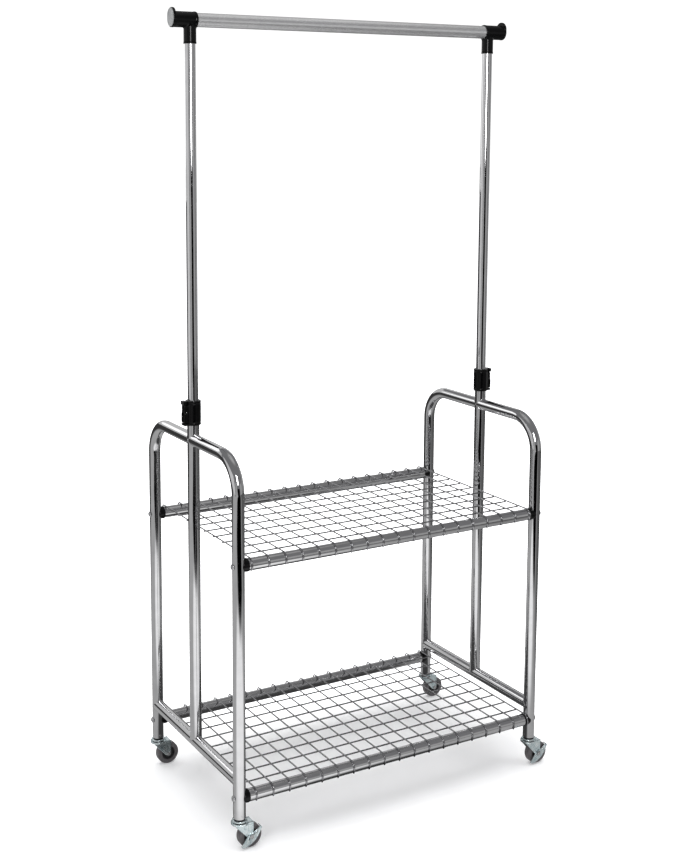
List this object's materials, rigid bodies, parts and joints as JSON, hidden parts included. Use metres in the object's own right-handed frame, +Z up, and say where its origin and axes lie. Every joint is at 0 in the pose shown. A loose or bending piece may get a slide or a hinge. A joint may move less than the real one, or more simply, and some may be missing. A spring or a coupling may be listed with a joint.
{
  "type": "rolling clothes rack",
  "caption": "Rolling clothes rack: chromed tube end hoops on casters, wire shelves below, and a hanging bar on a telescoping mast.",
  "frame": {"origin": "on the floor under the middle of the rack", "axes": "+X along the hanging bar towards the right-hand end, +Y from front to back, +Z up"},
  "size_m": [0.8209, 0.439, 1.6641],
  "materials": {
    "chrome_tube": "polished chrome plate on steel tube",
    "chrome_wire": "chrome plated steel wire",
    "black_plastic": "satin moulded plastic",
    "grey_cap": "satin grey moulded plastic",
    "zinc": "bright zinc plate with a blue tint",
    "fastener": "plated steel",
    "wheel_hub": "moulded nylon",
    "tyre": "dark grey rubber"
  },
  "bodies": {
    "frame": {"front_left_leg": "chrome_tube", "rear_left_leg": "chrome_tube", "left_upright": "chrome_tube", "left_crossbar": "chrome_tube", "left_collar": "black_plastic", "front_right_leg": "chrome_tube", "rear_right_leg": "chrome_tube", "right_upright": "chrome_tube", "right_crossbar": "chrome_tube", "right_collar": "black_plastic", "lower_front_rail": "chrome_tube", "lower_rear_rail": "chrome_tube", "lower_rail_caps": "black_plastic", "lower_cross_wires": "chrome_wire", "lower_long_wires": "chrome_wire", "upper_front_rail": "chrome_tube", "upper_rear_rail": "chrome_tube", "upper_rail_caps": "black_plastic", "upper_cross_wires": "chrome_wire", "upper_long_wires": "chrome_wire", "rail_bolts": "fastener", "rail_nuts": "fastener", "collar_pins": "fastener", "caster_sockets": "black_plastic", "caster_stems": "zinc", "caster_cups": "zinc", "caster_balls": "fastener"},
    "mast": {"left_inner_tube": "chrome_tube", "right_inner_tube": "chrome_tube", "left_tee": "black_plastic", "right_tee": "black_plastic", "left_end_cap": "grey_cap", "right_end_cap": "grey_cap", "hanging_bar": "chrome_tube", "mast_glides": "black_plastic"},
    "left_lock": {"left_collar_lever": "black_plastic"},
    "right_lock": {"right_collar_lever": "black_plastic"},
    "front_left_swivel": {"front_left_fork": "zinc", "front_left_axle": "zinc"},
    "front_left_wheel": {"front_left_hub": "wheel_hub", "front_left_tyre": "tyre"},
    "front_left_brake": {"front_left_brake_lever": "zinc"},
    "front_right_swivel": {"front_right_fork": "zinc", "front_right_axle": "zinc"},
    "front_right_wheel": {"front_right_hub": "wheel_hub", "front_right_tyre": "tyre"},
    "front_right_brake": {"front_right_brake_lever": "zinc"},
    "rear_left_swivel": {"rear_left_fork": "zinc", "rear_left_axle": "zinc"},
    "rear_left_wheel": {"rear_left_hub": "wheel_hub", "rear_left_tyre": "tyre"},
    "rear_right_swivel": {"rear_right_fork": "zinc", "rear_right_axle": "zinc"},
    "rear_right_wheel": {"rear_right_hub": "wheel_hub", "rear_right_tyre": "tyre"}
  },
  "joints": [
    {"name": "mast_height", "type": "slide", "parent": "frame", "child": "mast", "axis": [0, 0, 1], "range_m": [-0.56, 0]},
    {"name": "left_lock_lever", "type": "hinge", "parent": "frame", "child": "left_lock", "pos_m": [-0.3849, 0, 0.854], "axis": [0, -1, 0], "range_deg": [0, 75]},
    {"name": "right_lock_lever", "type": "hinge", "parent": "frame", "child": "right_lock", "pos_m": [0.3849, 0, 0.854], "axis": [0, 1, 0], "range_deg": [0, 75]},
    {"name": "front_left_swivel", "type": "hinge", "parent": "frame", "child": "front_left_swivel", "pos_m": [-0.3664, -0.202, 0.06], "axis": [0, 0, 1], "continuous": true},
    {"name": "front_left_roll", "type": "hinge", "parent": "front_left_swivel", "child": "front_left_wheel", "pos_m": [-0.3454, -0.202, 0.025], "axis": [0, 1, 0], "continuous": true},
    {"name": "front_left_brake_press", "type": "hinge", "parent": "front_left_swivel", "child": "front_left_brake", "pos_m": [-0.3454, -0.202, 0.025], "axis": [0, 1, 0], "range_deg": [0, 25]},
    {"name": "front_right_swivel", "type": "hinge", "parent": "frame", "child": "front_right_swivel", "pos_m": [0.3664, -0.202, 0.06], "axis": [0, 0, 1], "continuous": true},
    {"name": "front_right_roll", "type": "hinge", "parent": "front_right_swivel", "child": "front_right_wheel", "pos_m": [0.3874, -0.202, 0.025], "axis": [0, 1, 0], "continuous": true},
    {"name": "front_right_brake_press", "type": "hinge", "parent": "front_right_swivel", "child": "front_right_brake", "pos_m": [0.3874, -0.202, 0.025], "axis": [0, 1, 0], "range_deg": [0, 25]},
    {"name": "rear_left_swivel", "type": "hinge", "parent": "frame", "child": "rear_left_swivel", "pos_m": [-0.3664, 0.202, 0.06], "axis": [0, 0, 1], "continuous": true},
    {"name": "rear_left_roll", "type": "hinge", "parent": "rear_left_swivel", "child": "rear_left_wheel", "pos_m": [-0.3454, 0.202, 0.025], "axis": [0, 1, 0], "continuous": true},
    {"name": "rear_right_swivel", "type": "hinge", "parent": "frame", "child": "rear_right_swivel", "pos_m": [0.3664, 0.202, 0.06], "axis": [0, 0, 1], "continuous": true},
    {"name": "rear_right_roll", "type": "hinge", "parent": "rear_right_swivel", "child": "rear_right_wheel", "pos_m": [0.3874, 0.202, 0.025], "axis": [0, 1, 0], "continuous": true}
  ]
}
